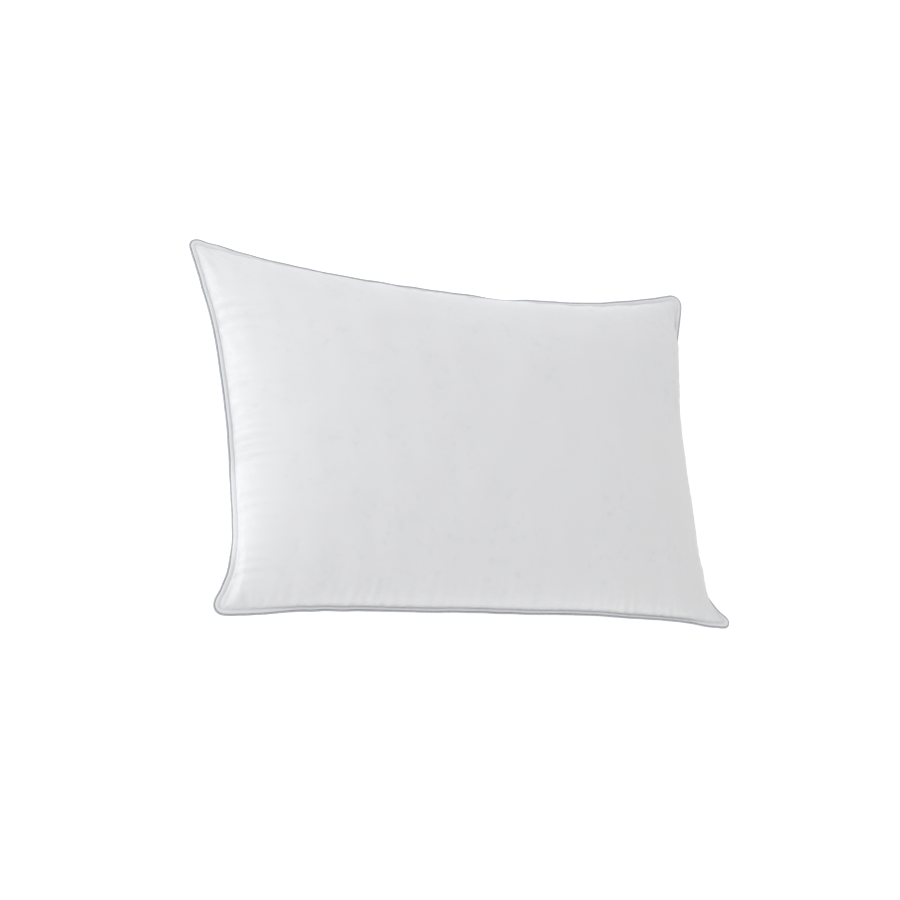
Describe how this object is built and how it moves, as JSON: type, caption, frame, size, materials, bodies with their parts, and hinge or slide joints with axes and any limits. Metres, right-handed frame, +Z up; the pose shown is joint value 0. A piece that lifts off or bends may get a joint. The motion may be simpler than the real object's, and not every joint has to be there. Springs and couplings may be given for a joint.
{
  "type": "bed pillow",
  "caption": "Rectangular stuffed bed pillow with a corded piped seam and a flat stitched border all round, lying on its back panel.",
  "frame": {"origin": "on the surface the pillow lies on, under the middle of its outline", "axes": "+X along the length, to the right in the view that faces the front panel; +Y across the width, from the front long edge to the rear one; +Z up through the loft, out of the front panel"},
  "size_m": [0.744, 0.496, 0.164],
  "materials": {
    "ticking": "white downproof cotton ticking, closely woven, with a faint sheen",
    "piping": "light grey bias-cut cotton",
    "cord": "undyed cotton filler cord",
    "thread": "white polyester sewing thread",
    "label": "white satin tape, blank",
    "down_feather": "loose white down and small feathers"
  },
  "bodies": {
    "root": {"front_panel": "ticking", "back_panel": "ticking", "piping_cover": "piping", "piping_cord": "cord", "down_feather_fill": "down_feather", "needle_thread": "thread", "bobbin_thread": "thread", "closing_thread": "thread", "care_label": "label"}
  },
  "joints": []
}
